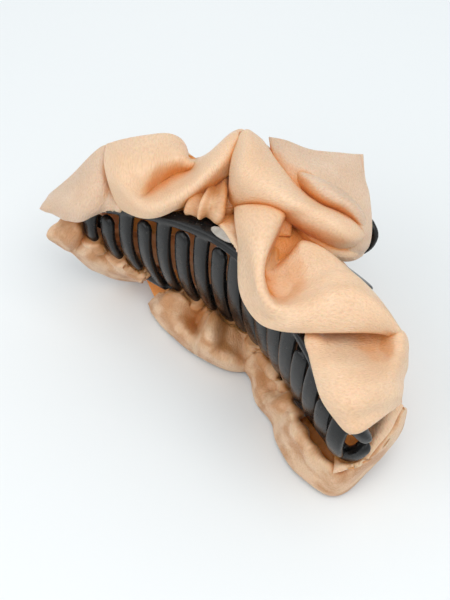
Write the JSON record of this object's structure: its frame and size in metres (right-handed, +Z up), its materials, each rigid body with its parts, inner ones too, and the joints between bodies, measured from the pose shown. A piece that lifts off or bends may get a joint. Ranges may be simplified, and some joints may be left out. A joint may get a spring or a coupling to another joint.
{
  "type": "hair claw clip",
  "caption": "Large sprung claw clip: two black jaws with interleaved curved teeth on a pinned hinge, each jaw covered by a gathered satin ruffle.",
  "frame": {"origin": "on the resting surface, straight below the middle of the hinge axis", "axes": "+X along the hinge, +Y from the teeth towards the handles, +Z up from the surface the clip lies on"},
  "size_m": [0.112, 0.0641, 0.0573],
  "materials": {
    "black_plastic": "polished moulded plastic",
    "steel": "bright drawn steel",
    "spring_wire": "drawn spring wire",
    "satin": "peach satin with a soft sheen",
    "glue": "clear set hot-melt glue"
  },
  "bodies": {
    "lower_jaw": {"jaw_lower": "black_plastic", "hinge_pin": "steel", "torsion_spring": "spring_wire", "ruffle_lower": "satin", "glue_lower_left": "glue", "glue_lower_centre": "glue", "glue_lower_right": "glue"},
    "upper_jaw": {"jaw_upper": "black_plastic", "ruffle_upper": "satin", "glue_upper_left": "glue", "glue_upper_centre": "glue", "glue_upper_right": "glue"}
  },
  "joints": [
    {"name": "jaw_hinge", "type": "hinge", "parent": "lower_jaw", "child": "upper_jaw", "pos_m": [0, 0, 0.028], "axis": [-1, 0, 0], "range_deg": [0, 45], "stiffness_Nm_per_rad": 0.19, "springref_deg": -30.37, "deforming": ["torsion_spring"]}
  ]
}
